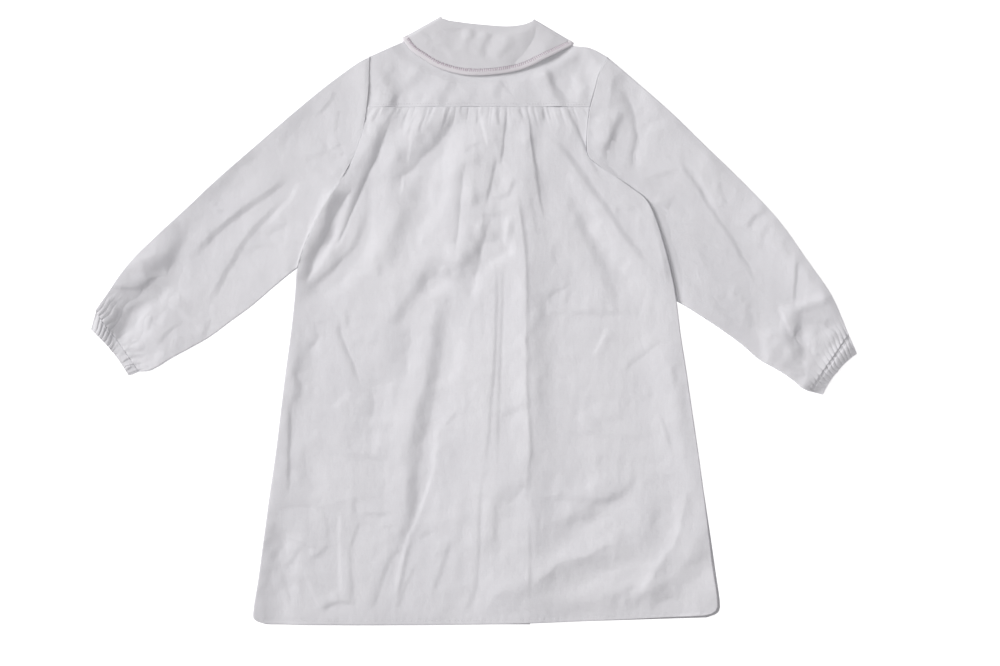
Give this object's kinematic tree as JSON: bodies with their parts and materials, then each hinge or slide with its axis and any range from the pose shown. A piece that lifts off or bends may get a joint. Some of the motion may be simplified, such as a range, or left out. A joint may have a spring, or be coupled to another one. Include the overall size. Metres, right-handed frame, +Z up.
{
  "type": "school smock",
  "caption": "Child's white cotton school smock laid flat, back upwards, with a round flat collar, a back yoke with gathers and long sleeves with elastic cuffs.",
  "frame": {"origin": "middle of the smock's outline, on the surface that it lies on", "axes": "+X across the smock to the right of the picture (the wearer's right), +Y up the back to the neck, +Z up off the surface"},
  "size_m": [0.827, 0.6576, 0.0106],
  "materials": {
    "cloth": "matt white polycotton poplin",
    "trim": "matt white poplin with a rolled edge and a pale pink ladder stitch",
    "button": "white plastic, slightly pearly"
  },
  "bodies": {
    "root": {"back_yoke": "cloth", "back_panel": "cloth", "front_left": "cloth", "front_right": "cloth", "sleeve_left": "cloth", "sleeve_right": "cloth", "cuff_left": "cloth", "cuff_right": "cloth", "collar": "trim", "collar_edging": "trim", "button_1": "button", "button_2": "button", "button_3": "button", "button_4": "button", "button_5": "button"}
  },
  "joints": []
}
